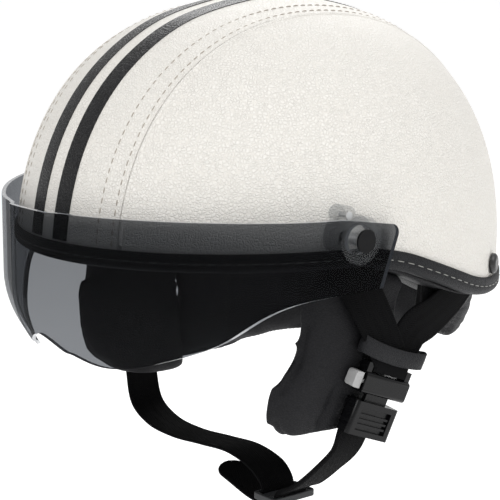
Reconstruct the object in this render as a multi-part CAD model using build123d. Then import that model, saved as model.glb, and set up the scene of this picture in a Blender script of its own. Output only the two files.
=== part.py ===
from build123d import *
from functools import cache
from math import atan2, cos, degrees, hypot, pi, sin, sqrt, tan
import os

# Open face motorcycle helmet, in millimetres: +Z up, the front along -Y, the wearer's left along +X.
# The origin is the centre of the head opening, where the dome meets its upright skirt.

# Cover: the leather's outside is half a superellipsoid on an upright elliptical skirt.
HALF_WIDTH = 103.9
HALF_LENGTH = 124.2
HEIGHT = 120.0
CENTRE_Y = 1.5
FULLNESS = 2.258
UNIT = 100.0
SKIRT = 105.0
REACH = 160.0

# Layers, each given as a depth inside the leather's outside.
LEATHER = (0.0, 1.2)
SHELL = (1.4, 4.2)
TRIM = (-1.9, 5.9)
CHANNEL = (-0.2, 4.4)
FOAM = (4.5, 24.0)
FOAM_EDGE = 6.2
LINER = (24.3, 28.3)
BAND = (6.4, 28.3)
CURTAIN = (10.4, 21.0)
STRIPE = (-0.35, -0.05)

# Rim line: level at the brow, sloping behind the ears, level at the nape.
RIM_FRONT = 16.5
RIM_REAR = -12.0
RIM_BEND_FRONT = -13.5
RIM_BEND_REAR = 63.0
RIM_RADIUS = 120.0
TRIM_HEIGHT = 8.6
COVER_EDGE = 6.0
CHANNEL_EDGE = 6.2
FOAM_BOTTOM = 7.0
BAND_TOP = 7.3
BAND_BOTTOM = 10.3
PAD_TOP = 10.9

# Panels and stripes, measured out from the middle plane.
SEAM_X = 40.0
SEAM_GAP = 0.15
STRIPE_INNER = 4.4
STRIPE_OUTER = 14.0

# Visor and its pivot.
PIVOT_Y = -34.0
PIVOT_Z = 21.7
VISOR_X = 107.0
VISOR_REACH = 93.0
VISOR_START_Y = -42.0
VISOR_POWER = 1.57
VISOR_THICKNESS = 2.0
VISOR_STRAIGHT_Z = -5.0
VISOR_CURL = 78.0
VISOR_NOSE = 0.12
SEAT_GAP = 0.5
BOSS_R = 6.4
RING_R = 10.5
RING_HOLE_R = 4.0
CAP_R = 5.1
CAP_STEM_R = 3.4
BOLT_R = 2.5
BOLT_HEAD_R = 4.1
LUG_Y = -37.0
LUG_Z = 32.0
LUG_R = 4.1
LUG_FACE_X = 103.4
LUG_SCREW_R = 1.0

# Visor outline: side view in (y, z), and the lower edge in front view in (x, z).
VISOR_SIDE = ((-43, 31.0), (-9, 25.5), (-21, -6), (-21, -80))
VISOR_HEM = (
    (108, -1),
    (100.8, -3.6),
    (82.2, -19.2),
    (57, -31.8),
    (34, -38.2),
    (21, -37.2),
    (9.5, -29.8),
    (0, -26),
)

# Strap anchors at the back.
RIVET_Y = 73.0
RIVET_Z = -5.4
RIVET_R = 2.0
RIVET_HEAD_R = 5.0
RIVET_HOLE = (-14, 3)
BOLT_HOLE = (80, 110)

# Webbing.
WEB_WIDTH = 20.0
WEB_THICKNESS = 1.5
STRAP_DEPTH = 7.6

# Buckle frame: origin in the middle of the housing, u to the rear, v up the strap, w outwards.
BUCKLE_AT = (93.2, -6.0, -49.5)
DOWN = (-0.12, -0.357, -0.926)
REARWARD = (0.0, 0.933, -0.36)
JUNCTION_FRONT = (-3, 13, 1.8)
JUNCTION_REAR = (4, 13.5, 0.0)
HOUSING_U = 14.0
HOUSING_V = (-5.75, 4.0)
EAR_TOP = 8.4
TOP_BAR_V = (6.4, 8.4)
TOP_BAR_W = (-1.2, 1.2)
BODY_W = 4.2
KEEPER_U = (-21, 20)
KEEPER_V = (10.6, 18.6)
KEEPER_W = 4.4
KEEPER_WALL = 1.25
PLUG_U = 13.5
PLUG_V = (-25.0, -9.4)
PLUG_BAR_V = (-19.0, -16.6)
PLUG_BAR_W = (-3.0, -1.2)
RIB_V = (-20.6, -18.2, -15.8)
RIB = 1.0
WRAP = 1.7
CHIN_WIDTH = 18.6
CHIN_THICKNESS = 2.4
SLIDER_AT = (45.0, -21.5, -111.5)

# Ear pads and nape curtain.
PAD_OUTER_X = 94.5
PAD_LEAN = 0.15
PAD_THICKNESS = 11.0
PAD_RADIUS = 6.0
PAD_FOOT = -88.0
CURTAIN_START_LEFT = 22.0
CURTAIN_START_RIGHT = 11.0

# Outlines in (y, z): the left pad's front edge is folded back, the right one hangs flat.
PAD_LEFT = (
    (10, 12),
    (-46, 12),
    (-53, -18),
    (-50, -34),
    (-67, -43),
    (-68, -60),
    (-50, -72),
    (-6, -72),
    (9, -44),
)
PAD_RIGHT = (
    (10, 12),
    (-56, 12),
    (-58, -20),
    (-57, -46),
    (-47, -66),
    (-30, -78.3),
    (-12, -82.5),
    (10, -83),
)

# Hem of the nape curtain in (x, z), from the left round to the right, where it hangs longest.
CURTAIN_HEM = (
    (REACH, -31),
    (62, -31),
    (30, -58),
    (0, -63),
    (-50, -66),
    (-62, -68),
    (-76, -73.5),
    (-87, -80.5),
    (-REACH, -84),
)

LOW = (Align.CENTER, Align.CENTER, Align.MIN)

os.makedirs("parts", exist_ok=True)


def save(name, *pieces):
    """Write one node; the label is the node's name."""
    node = Compound([solid for piece in pieces for solid in piece.solids()])
    node.label = name
    export_step(node, f"parts/{name}.step")


def mirrored(solid):
    return mirror(solid, about=Plane.YZ)


def box(x, y, z):
    """Box between limits given as (low, high) pairs."""
    size = (x[1] - x[0], y[1] - y[0], z[1] - z[0])
    middle = ((x[0] + x[1]) / 2, (y[0] + y[1]) / 2, (z[0] + z[1]) / 2)
    return Pos(*middle) * Box(*size)


def grown(span, amount):
    """A (low, high) pair widened at both ends."""
    return (span[0] - amount, span[1] + amount)


def side_prism(outline, x=(-REACH, REACH)):
    """Prism along X of an outline drawn in (y, z)."""
    return Pos(x[0], 0, 0) * extrude(Plane.YZ * make_face(outline), amount=x[1] - x[0])


def front_prism(outline, y=(-REACH, REACH)):
    """Prism along Y of an outline drawn in (x, z)."""
    return Pos(0, y[1], 0) * extrude(Plane.XZ * make_face(outline), amount=y[1] - y[0])


# ---------------------------------------------------------------- dome and rim


@cache
def dome(depth):
    """Solid whose surface lies depth inside the leather's, with an upright skirt below z = 0."""
    height = HEIGHT - depth
    steps = 8
    arc = []
    for step in range(steps):
        angle = pi / 2 * step / steps
        arc.append((UNIT * cos(angle) ** (2 / FULLNESS), height * sin(angle) ** (2 / FULLNESS)))
    arc.append((0, height))
    crown = Spline(*arc, tangents=((0, 1), (-1, 0)))
    rest = Polyline((0, height), (0, -SKIRT), (UNIT, -SKIRT), (UNIT, 0))
    profile = Plane.XZ * make_face(crown + rest)
    stretch = ((HALF_WIDTH - depth) / UNIT, (HALF_LENGTH - depth) / UNIT, 1)
    rear_half = scale(revolve(profile, Axis.Z, 180), by=stretch)
    front_half = scale(revolve(Rot(0, 0, 180) * profile, Axis.Z, 180), by=stretch)
    return Pos(0, CENTRE_Y, 0) * (rear_half + front_half)


def dome_x(y, z, depth):
    """Half width of the surface at depth, at a height and a place along the helmet."""
    rise = max(z, 0) / (HEIGHT - depth)
    round_plan = (1 - rise**FULLNESS) ** (2 / FULLNESS)
    return (HALF_WIDTH - depth) * sqrt(round_plan - ((y - CENTRE_Y) / (HALF_LENGTH - depth)) ** 2)


def dome_normal(y, z):
    """Direction out of the dome at a height and a place along the helmet."""
    x = dome_x(y, z, STRAP_DEPTH)
    across = (x / HALF_WIDTH**2, (y - CENTRE_Y) / HALF_LENGTH**2)
    girth = hypot(x / HALF_WIDTH, (y - CENTRE_Y) / HALF_LENGTH) ** (FULLNESS - 2)
    rise = (max(z, 0) / HEIGHT) ** (FULLNESS - 1) / HEIGHT
    return (across[0] * girth, across[1] * girth, rise)


def below_rim(drop):
    """Everything under the rim line, lowered by drop square to the line."""
    slope = atan2(RIM_FRONT - RIM_REAR, RIM_BEND_REAR - RIM_BEND_FRONT)
    shift = drop * tan(slope / 2)
    front = RIM_FRONT - drop
    rear = RIM_REAR - drop
    edge = FilletPolyline(
        (-REACH, front),
        (RIM_BEND_FRONT - shift, front),
        (RIM_BEND_REAR - shift, rear),
        (REACH, rear),
        radius=[RIM_RADIUS - drop, RIM_RADIUS + drop],
    )
    under = Polyline((REACH, rear), (REACH, -REACH), (-REACH, -REACH), (-REACH, front))
    return side_prism(edge + under)


def layer(depths, drop):
    """Wall between two depths, down to the rim line lowered by drop."""
    return dome(depths[0]) - dome(depths[1]) - below_rim(drop)


# ---------------------------------------------------------------- fastener places


def rivet_plane():
    """Frame on the leather at the rear anchor, with its normal pointing out."""
    x = dome_x(RIVET_Y, RIVET_Z, 0)
    normal = (x / HALF_WIDTH**2, (RIVET_Y - CENTRE_Y) / HALF_LENGTH**2, 0)
    return Plane(origin=(x, RIVET_Y, RIVET_Z), x_dir=(0, 0, 1), z_dir=normal)


def pivot_rod(radius, x):
    """Round bar along the visor's pivot line."""
    return Pos(x[0], PIVOT_Y, PIVOT_Z) * Rot(0, 90, 0) * Cylinder(radius, x[1] - x[0], align=LOW)


def rivet_rod(radius, out):
    """Round bar along the rear rivet, between two heights above the leather."""
    bar = Cylinder(radius, out[1] - out[0], align=LOW)
    return rivet_plane().location * Pos(0, 0, out[0]) * bar


def both_sides(solid):
    """The same piece on the left and on the right."""
    return [solid, mirrored(solid)]


def drilled(solid):
    """Take out the holes for the pivot bolts and the rear rivets."""
    pivot = pivot_rod(BOLT_R + 0.3, BOLT_HOLE)
    rivet = rivet_rod(RIVET_R + 0.3, RIVET_HOLE)
    return solid - both_sides(pivot) - both_sides(rivet)


# ---------------------------------------------------------------- webbing


def ribbon(points, normals, width=WEB_WIDTH, thickness=WEB_THICKNESS):
    """Flat webbing through points; each normal points out of its face."""
    sections = []
    last = len(points) - 1
    for index, (point, normal) in enumerate(zip(points, normals)):
        ahead = Vector(*points[min(index + 1, last)])
        behind = Vector(*points[max(index - 1, 0)])
        along = (ahead - behind).normalized()
        out = Vector(*normal)
        out = (out - along * out.dot(along)).normalized()
        across = along.cross(out)
        section = Plane(origin=point, x_dir=across, z_dir=along)
        sections.append(section * Rectangle(width, thickness))
    return loft(sections, ruled=True)


def buckle_plane():
    outward = Vector(*DOWN).cross(Vector(*REARWARD))
    return Plane(origin=BUCKLE_AT, x_dir=REARWARD, z_dir=outward)


def buckle_point(u, v, w):
    return tuple(buckle_plane().from_local_coords((u, v, w)))


def buckle_box(u, v, w):
    return buckle_plane().location * box(u, v, w)


def front_leg_route():
    """Middle line of the front strap leg, from above its bolt to the keeper on the ear pad."""
    route = []
    normals = []
    for y, z in ((-38.2, 29.7), (-34.0, 21.7), (-29.5, 13.0), (-24.8, 4.0)):
        route.append((dome_x(y, z, STRAP_DEPTH), y, z))
        normals.append(dome_normal(y, z))
    route.append((95.0, -18.5, -8.0))
    route.append((96.2, -11.5, -21.5))
    route.append(buckle_point(*JUNCTION_FRONT))
    normals += [(1, -0.08, 0), (1, 0, 0), (1, 0, 0)]
    return route, normals


def rear_leg_route():
    """Middle line of the rear strap leg, from beyond its rivet round to the keeper."""
    route = []
    normals = []
    end = buckle_point(*JUNCTION_REAR)
    for y in (81.5, 73.0, 62.0, 50.0, 37.0, 24.0):
        z = RIVET_Z + (y - RIVET_Y) * 0.366
        depth = STRAP_DEPTH + 1.0 * (81.5 - y) / 60
        route.append((dome_x(y, z, depth), y, z))
        normals.append(dome_normal(y, z))
    route.append((94.9, 12.0, -27.0))
    route.append(end)
    normals += [(1, 0, 0), (1, 0, 0)]
    return route, normals


def relief(route, normals):
    """Groove that the foam and the brow band need round a strap leg."""
    moved = []
    for point, normal in zip(route, normals):
        moved.append(tuple(Vector(*point) + Vector(*normal).normalized() * 1.4))
    return ribbon(moved, normals, WEB_WIDTH + 3.0, 6.8)


# ---------------------------------------------------------------- shell, cover and lining


def make_shell():
    save("outer_shell", drilled(layer(SHELL, COVER_EDGE)))


def make_leather():
    cover = drilled(layer(LEATHER, COVER_EDGE))
    inner = SEAM_X - SEAM_GAP
    outer = SEAM_X + SEAM_GAP
    span = (-REACH, REACH)
    save("leather_centre", cover & box((-inner, inner), span, span))
    left = cover & box((outer, REACH), span, span)
    save("leather_left", left)
    save("leather_right", mirrored(left))


def make_stripes():
    skin = dome(STRIPE[0]) - dome(STRIPE[1]) - below_rim(-0.6)
    span = (-REACH, REACH)
    left = skin & box((STRIPE_INNER, STRIPE_OUTER), span, span)
    save("racing_stripe_left", left)
    save("racing_stripe_right", mirrored(left))


def make_trim():
    band = (dome(TRIM[0]) - dome(TRIM[1])) & below_rim(0)
    channel = dome(CHANNEL[0]) - dome(CHANNEL[1]) - below_rim(CHANNEL_EDGE)
    save("edge_trim", band - below_rim(TRIM_HEIGHT) - channel)


def make_foam():
    above_trim = layer(FOAM, -1.0)
    behind_trim = layer((FOAM_EDGE, FOAM[1]), FOAM_BOTTOM)
    foam = above_trim + behind_trim
    pockets = pivot_rod(9.5, (82, 110)) + rivet_rod(9.0, (-13.5, 0))
    grooves = relief(*front_leg_route()) + relief(*rear_leg_route())
    save("foam_liner", foam - both_sides(pockets + grooves))
    save("comfort_liner", layer(LINER, FOAM_BOTTOM))
    band = (dome(BAND[0]) - dome(BAND[1])) & below_rim(BAND_TOP)
    save("brow_band", band - below_rim(BAND_BOTTOM) - both_sides(grooves))


# ---------------------------------------------------------------- pads


def ear_pad(outline, radii):
    """Soft flap over the ear, leaning in towards its foot, with its corners rounded."""
    flap = side_prism(FilletPolyline(*outline, outline[0], radius=radii, close=True), (50, 120))
    top = 20.0
    outer_top = PAD_OUTER_X + PAD_LEAN * top
    outer_foot = PAD_OUTER_X + PAD_LEAN * PAD_FOOT
    slab = Polyline(
        (outer_top, top),
        (outer_foot, PAD_FOOT),
        (outer_foot - PAD_THICKNESS, PAD_FOOT),
        (outer_top - PAD_THICKNESS, top),
        close=True,
    )
    return flap & front_prism(slab) & below_rim(PAD_TOP) & dome(CURTAIN[0])


def make_pads():
    save("ear_pad_left", ear_pad(PAD_LEFT, PAD_RADIUS))
    save("ear_pad_right", mirrored(ear_pad(PAD_RIGHT, PAD_RADIUS / 2)))
    wall = (dome(CURTAIN[0]) - dome(CURTAIN[1])) & below_rim(PAD_TOP)
    top = ((-REACH, REACH), (REACH, REACH))
    hem = FilletPolyline(*top, *CURTAIN_HEM, top[0], radius=3.0, close=True)
    curtain = wall & front_prism(hem, (CURTAIN_START_RIGHT, REACH))
    curtain = curtain - box((0, REACH), (-REACH, CURTAIN_START_LEFT), (-REACH, REACH))
    keeper_room = buckle_box(grown(KEEPER_U, 2), grown(KEEPER_V, 2), (-KEEPER_W - 2, KEEPER_W + 2))
    save("nape_curtain", curtain - mirrored(keeper_room))


# ---------------------------------------------------------------- visor


def visor_section(z, depth, back):
    """Plan of the lens's face at a height: flat sides joined by one bowed front."""
    curl = max(0, VISOR_STRAIGHT_Z - z) ** 2 / VISOR_CURL + depth
    half = VISOR_X - curl
    reach = VISOR_REACH - curl
    steps = 10
    bow = []
    for step in range(steps + 1):
        share = max(0, cos(pi / 2 * step / steps))
        blunt = hypot(share * sqrt(1 - VISOR_NOSE**2), VISOR_NOSE)
        ahead = max(0, 1 - blunt**VISOR_POWER) ** (1 / VISOR_POWER)
        bow.append((half * share, VISOR_START_Y - reach * ahead))
    bow[-1] = (0, bow[-1][1])
    left = Spline(*bow, tangents=((0, -1), (-1, 0)))
    right = Spline(*[(-x, y) for x, y in bow], tangents=((0, -1), (1, 0)))
    rest = Polyline((-half, VISOR_START_Y), (-half, back), (half, back), (half, VISOR_START_Y))
    return Pos(0, 0, z) * make_face(left + right + rest)


def visor_block(depth, spare):
    """Solid inside one face of the lens: upright above, curling in towards the chin below."""
    foot = visor_section(VISOR_STRAIGHT_Z, depth, spare)
    upright = extrude(foot, amount=45 + spare, dir=(0, 0, 1))
    heights = (VISOR_STRAIGHT_Z, -10, -17, -25, -33, -42 - spare)
    return upright + loft([visor_section(z, depth, spare) for z in heights])


def make_visor():
    lens = visor_block(0, 0) - visor_block(VISOR_THICKNESS, 2)
    top = (-REACH, VISOR_SIDE[0][1])
    foot = (-REACH, VISOR_SIDE[-1][1])
    side = FilletPolyline(top, *VISOR_SIDE, foot, radius=[60, 4, 3, 3])
    lens = lens & side_prism(side + Line(foot, top))
    start = (REACH, VISOR_HEM[0][1])
    under = Polyline(VISOR_HEM[-1], (0, -REACH), (REACH, -REACH), start)
    half = front_prism(Spline(start, *VISOR_HEM) + under)
    lens = lens - both_sides(half)
    lens = lens - both_sides(pivot_rod(BOSS_R + 0.08, (98, 115)))
    save("visor", lens)


def lug_rod(radius, x):
    """Round bar along the small screw of the pivot plate's lug."""
    return Pos(x[0], LUG_Y, LUG_Z) * Rot(0, 90, 0) * Cylinder(radius, x[1] - x[0], align=LOW)


def make_pivots():
    """Stack of pieces along each visor pivot, from the leather outwards."""
    root = 85.0
    plate_out = VISOR_X - VISOR_THICKNESS - SEAT_GAP
    ring_in = VISOR_X + 0.3
    ring_out = VISOR_X + 2.4
    drop = pivot_rod(RING_R, (root, plate_out))
    neck_length = hypot(LUG_Y - PIVOT_Y, LUG_Z - PIVOT_Z)
    turn = degrees(atan2(LUG_Y - PIVOT_Y, LUG_Z - PIVOT_Z))
    neck_box = box((0, LUG_FACE_X - root), (-LUG_R, LUG_R), (0, neck_length))
    neck = Pos(root, PIVOT_Y, PIVOT_Z) * Rot(-turn, 0, 0) * neck_box
    plate = drop + neck + lug_rod(LUG_R, (root, LUG_FACE_X))
    beading = dome(TRIM[0] - 0.3) & below_rim(-0.4)
    bore = pivot_rod(BOLT_R + 0.05, (root, root + 30))
    screw_hole = lug_rod(LUG_SCREW_R + 0.1, (root, root + 30))
    screw_seat = lug_rod(LUG_SCREW_R + 1.1, (LUG_FACE_X, root + 30))
    boss = pivot_rod(BOSS_R, (plate_out, ring_in)) + pivot_rod(RING_HOLE_R - 0.1, (ring_in, ring_out))
    base = plate - dome(-0.25) - beading + boss - bore - screw_hole - screw_seat
    ring = pivot_rod(RING_R, (ring_in, ring_out)) - pivot_rod(RING_HOLE_R, BOLT_HOLE)
    head_out = ring_out + 0.9
    bolt = pivot_rod(BOLT_R, (root + 1, ring_out)) + pivot_rod(BOLT_HEAD_R, (ring_out, head_out))
    cap = pivot_rod(CAP_STEM_R, (head_out + 0.1, head_out + 0.6))
    cap = cap + pivot_rod(CAP_R, (head_out + 0.6, head_out + 1.7))
    for side, turned in (("left", False), ("right", True)):
        for name, solid in (("pivot_base", base), ("pivot_ring", ring), ("pivot_cap", cap)):
            save(f"{name}_{side}", mirrored(solid) if turned else solid)
    screw_head = lug_rod(LUG_SCREW_R + 0.8, (LUG_FACE_X, LUG_FACE_X + 0.5))
    screw = lug_rod(LUG_SCREW_R, (98, LUG_FACE_X)) + screw_head
    save("lug_screws", *both_sides(screw))
    save("pivot_bolts", *both_sides(bolt))


def make_anchors():
    """Rivets, spacers and nuts that hold the strap legs inside the shell."""
    half_web = WEB_THICKNESS / 2
    bolt_hole = pivot_rod(BOLT_R + 0.1, BOLT_HOLE)
    rivet_hole = rivet_rod(RIVET_R + 0.1, RIVET_HOLE)
    strap_x = dome_x(PIVOT_Y, PIVOT_Z, STRAP_DEPTH)
    nut = pivot_rod(5.5, (strap_x - 6.2, strap_x - half_web - 1.75)) - bolt_hole
    save("pivot_nuts", *both_sides(nut))
    inside = dome(SHELL[1] + 0.15)
    front = (pivot_rod(4.8, (strap_x + half_web + 1.35, 100)) - bolt_hole) & inside
    rear = (rivet_rod(5.5, (-STRAP_DEPTH + half_web + 0.55, 0)) - rivet_hole) & inside
    save("strap_spacers", *both_sides(front + rear))
    shank = rivet_rod(RIVET_R, (-11.0, 0.6))
    head = rivet_rod(RIVET_HEAD_R, (0.6, 3.2))
    rim = head.edges().filter_by(GeomType.CIRCLE).sort_by_distance(Vector(200, 200, 0))[:1]
    tail = rivet_rod(3.6, (-12.0, -11.0))
    save("rear_rivets", *both_sides(shank + fillet(rim, 2.2) + tail))
    washer = rivet_rod(6.0, (-10.9, -STRAP_DEPTH - half_web - 0.85)) - rivet_hole
    save("rivet_washers", *both_sides(washer))


# ---------------------------------------------------------------- straps


def make_legs():
    bolt_hole = pivot_rod(BOLT_R + 0.2, BOLT_HOLE)
    rivet_hole = rivet_rod(RIVET_R + 0.2, RIVET_HOLE)
    inside = buckle_box((-19.5, 18.5), (11.4, 21), (-2.9, 2.9))
    past_keeper = buckle_box((-32, 32), (-5, 19.0), (-8, 8)) - inside
    front = ribbon(*front_leg_route()) - bolt_hole - past_keeper
    rear = ribbon(*rear_leg_route()) - rivet_hole - past_keeper
    save("front_strap_left", front)
    save("front_strap_right", mirrored(front))
    save("rear_strap_left", rear)
    save("rear_strap_right", mirrored(rear))
    wall = KEEPER_WALL
    outside = buckle_box(KEEPER_U, KEEPER_V, (-KEEPER_W, KEEPER_W))
    hollow_u = (KEEPER_U[0] + wall, KEEPER_U[1] - wall)
    hollow_w = (wall - KEEPER_W, KEEPER_W - wall)
    keeper = outside - buckle_box(hollow_u, (KEEPER_V[0] - 1, KEEPER_V[1] + 1), hollow_w)
    height = KEEPER_V[1] - KEEPER_V[0]
    corners = keeper.edges().filter_by(lambda edge: abs(edge.length - height) < 0.01)
    keeper = fillet(corners, 1.1)
    save("ear_strap_loop_left", keeper)
    save("ear_strap_loop_right", mirrored(keeper))


def sleeve(u, bar_v, bar_w):
    """Webbing wrapped round a flat bar."""
    wrap = buckle_box(u, grown(bar_v, WRAP), grown(bar_w, WRAP))
    return wrap - buckle_box(grown(u, 1), grown(bar_v, 0.2), grown(bar_w, 0.2))


def rounded_along(solid, length, radius):
    """Fillet every straight edge of one length."""
    return fillet(solid.edges().filter_by(lambda edge: abs(edge.length - length) < 0.01), radius)


def make_housing():
    """Rounded block with two ears that carry the strap bar, hollow for the latch and the blade."""
    block = buckle_box((-HOUSING_U, HOUSING_U), HOUSING_V, (-BODY_W, BODY_W))
    block = rounded_along(block, 2 * HOUSING_U, 1.8)
    span = (-11, 11)
    ears = buckle_box((-HOUSING_U, HOUSING_U), (3.0, EAR_TOP), (-2.6, 2.6))
    ears = ears - buckle_box(span, (HOUSING_V[1], TOP_BAR_V[0]), (-5, 5))
    ears = ears - buckle_box(span, (6.3, 9), (TOP_BAR_W[1], 5))
    ears = ears - buckle_box(span, (6.3, 9), (-5, TOP_BAR_W[0]))
    latch_room = buckle_box((-13.0, 13.0), (-2.0, 0.8), (-3.4, 3.4))
    blade_slot = buckle_box((-7.5, 7.5), (-7, 3.2), (-1.35, 1.35))
    button_mouth = buckle_box((-15, -11.2), (-4.7, 3.4), (-3.1, 3.1))
    save("buckle_housing", block + ears - latch_room - blade_slot - button_mouth)


def make_latch():
    """Push button, the bar behind it and the spring that returns them."""
    head_w = 2.8
    head = buckle_box((-19.6, -14.9), (-4.4, 3.1), (-head_w, head_w))
    front_edges = head.edges().filter_by(lambda edge: abs(edge.length - 2 * head_w) < 0.01)
    save("release_button", fillet(front_edges.sort_by(Axis.Y)[:2], 1.6))
    bar = buckle_box((-14.8, 9.2), (-1.4, 0.2), (-3.1, 3.1))
    save("lock_bar", bar - buckle_box((-10.6, 7.8), (-3, 3), (-1.6, 1.6)))
    coil = buckle_plane().location * Pos(9.4, -0.6, 0) * Rot(0, 90, 0)
    turns = Helix(pitch=0.85, height=3.4, radius=1.0)
    wire_end = Plane(origin=turns @ 0, z_dir=turns % 0)
    save("button_spring", coil * sweep(wire_end * Circle(0.22), path=turns))


def make_plug():
    """Body with a ribbed hollow in front, a strap bar behind and a blade on top."""
    body = buckle_box((-PLUG_U, PLUG_U), PLUG_V, (-BODY_W, BODY_W))
    body = rounded_along(body, PLUG_V[1] - PLUG_V[0], 1.8)
    hollow_u = (-9.5, 9.5)
    body = body - buckle_box(hollow_u, (-22.5, -12.0), (2.6, 5))
    for v in RIB_V:
        body = body + buckle_box(hollow_u, (v, v + RIB), (2.4, 3.7))
    body = body - buckle_box((-12.3, 7.4), (-26, -12.6), (-5, 0.6))
    strap_bar = buckle_box((-12.8, 8.0), PLUG_BAR_V, PLUG_BAR_W)
    blade = buckle_box((-7.0, 7.0), (-9.6, 2.6), (-1.0, 1.0))
    save("buckle_tongue", body + strap_bar + blade)


def make_buckle_strap():
    """Short strap from the keeper to the bar between the housing's ears."""
    lead = [buckle_point(0, 9.9, -0.9), buckle_point(0, 11.2, -2.0), buckle_point(0, 18.0, -2.0)]
    wrap = sleeve((-10.4, 10.4), TOP_BAR_V, TOP_BAR_W)
    save("buckle_strap", wrap + ribbon(lead, [(1, 0, 0)] * 3))


def make_chin_left():
    """Doubled strap from the plug's bar down to the slider."""
    x, y, z = SLIDER_AT
    route = [
        (buckle_point(-2.5, -20.2, -2.1), (1, -0.04, -0.11)),
        (buckle_point(-2.5, -25.0, -3.0), (1, -0.04, -0.11)),
        ((82.6, -17.3, -81.0), (0.9, 0, -0.4)),
        ((73.5, -20.0, -91.5), (0.75, 0, -0.65)),
        ((61.0, -21.5, -102.5), (0.65, 0, -0.76)),
        ((x + 8.0, y, z + 5.0), (0.65, 0, -0.76)),
        ((x + 4.6, y, z + 2.2), (0.9, 0, -0.3)),
        ((x + 4.2, y, z - 1.2), (1, 0, 0)),
    ]
    wrap = sleeve((-11.9, 7.0), PLUG_BAR_V, PLUG_BAR_W)
    save("chin_strap_left", wrap + ribbon(*zip(*route), CHIN_WIDTH, CHIN_THICKNESS))


def make_slider():
    """Two-slot plate under the chin, and the strap's loose end."""
    x, y, z = SLIDER_AT
    plate = Pos(x, y, z) * Box(15.6, 26, 3.4)
    plate = fillet(plate.edges().filter_by(Axis.Z), 2.0)
    slot = Box(4.6, 22, 8)
    save("strap_slider", plate - Pos(x + 4.2, y, z) * slot - Pos(x - 4.2, y, z) * slot)
    tail = [
        (x - 1.0, y - 2, z - 3.6),
        (x - 12, y - 2.6, z - 2.2),
        (x - 26, y - 3, z + 1.6),
        (x - 40, y - 3.5, z + 5.6),
    ]
    save("strap_tail", ribbon(tail, [(0, 0, 1)] * len(tail)))


def make_chin_right():
    """Strap from the right-hand keeper round under the chin to the slider."""
    x, y, z = SLIDER_AT
    top = [buckle_point(0, v, w) for v, w in ((18.0, -2.0), (9.5, -1.6), (-2.0, -1.0))]
    route = [((-point[0], point[1], point[2]), (-1, 0, 0)) for point in top]
    route += [
        ((-90.0, -8.5, -70.0), (-1, 0, 0)),
        ((-88.5, -9.0, -84.0), (-1, 0, 0)),
        ((-82.5, -10.0, -97.5), (-0.8, 0, -0.6)),
        ((-68.0, -10.5, -104.5), (-0.3, 0, -1)),
        ((-46.0, -11.0, -106.0), (0, 0, -1)),
        ((-20.0, -12.0, -103.5), (0, 0, -1)),
        ((5.0, -14.0, -101.0), (0, 0, -1)),
        ((26.0, -17.5, -102.5), (0, 0, -1)),
        ((36.0, -20.3, -105.5), (-0.5, 0, -0.9)),
        ((x - 4.8, y, z + 2.6), (-0.9, 0, -0.3)),
        ((x - 4.2, y, z - 1.2), (-1, 0, 0)),
    ]
    save("chin_strap_right", ribbon(*zip(*route)))


make_shell()
make_leather()
make_stripes()
make_trim()
make_foam()
make_pads()
make_visor()
make_pivots()
make_anchors()
make_legs()
make_housing()
make_latch()
make_plug()
make_buckle_strap()
make_chin_left()
make_slider()
make_chin_right()
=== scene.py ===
"""Looks of an open face motorcycle helmet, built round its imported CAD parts.
Lengths in this file are in millimetres unless a name ends in _M; M turns them into Blender's metres.
"""

import math

import bmesh
import bpy
import numpy as np
from mathutils import Matrix, Vector, noise


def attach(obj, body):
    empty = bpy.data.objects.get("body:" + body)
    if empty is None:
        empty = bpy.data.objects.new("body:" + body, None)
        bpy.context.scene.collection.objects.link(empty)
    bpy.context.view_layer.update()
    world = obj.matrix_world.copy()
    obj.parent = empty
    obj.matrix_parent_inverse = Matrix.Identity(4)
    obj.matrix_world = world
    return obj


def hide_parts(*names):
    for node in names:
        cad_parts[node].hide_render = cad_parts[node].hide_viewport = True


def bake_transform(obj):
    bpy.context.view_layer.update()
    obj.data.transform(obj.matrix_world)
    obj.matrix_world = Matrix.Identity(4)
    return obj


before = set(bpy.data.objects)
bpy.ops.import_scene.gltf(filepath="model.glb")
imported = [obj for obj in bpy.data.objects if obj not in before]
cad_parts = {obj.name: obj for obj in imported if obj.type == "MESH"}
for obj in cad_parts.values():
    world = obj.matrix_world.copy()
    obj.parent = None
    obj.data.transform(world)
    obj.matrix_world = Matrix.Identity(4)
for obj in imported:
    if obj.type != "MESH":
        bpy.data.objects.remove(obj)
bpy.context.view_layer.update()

M = 0.001

# The dome: the leather's outside, as the CAD source has it.
HALF_WIDTH = 103.9
HALF_LENGTH = 124.2
HEIGHT = 120.0
CENTRE_Y = 1.5
FULLNESS = 2.258

# The rim line of the edge trim, in side view.
RIM_FRONT = 16.5
RIM_REAR = -12.0
RIM_BEND_FRONT = -13.5
RIM_BEND_REAR = 63.0
RIM_RADIUS = 120.0

# The buckle's own frame: u to the rear, v up the strap, w outwards.
BUCKLE_AT = np.array((93.2, -6.0, -49.5))
BUCKLE_DOWN = np.array((-0.12, -0.357, -0.926))
BUCKLE_REAR = np.array((0.0, 0.933, -0.36))

RIVET_Y = 73.0
RIVET_Z = -5.4
STRAP_DEPTH = 7.6
SLIDER_AT = np.array((45.0, -21.5, -111.5))


def unit(v):
    v = np.asarray(v, float)
    return v / np.maximum(np.linalg.norm(v, axis=-1, keepdims=True), 1e-12)


# ------------------------------------------------------------------ node helpers


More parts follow.
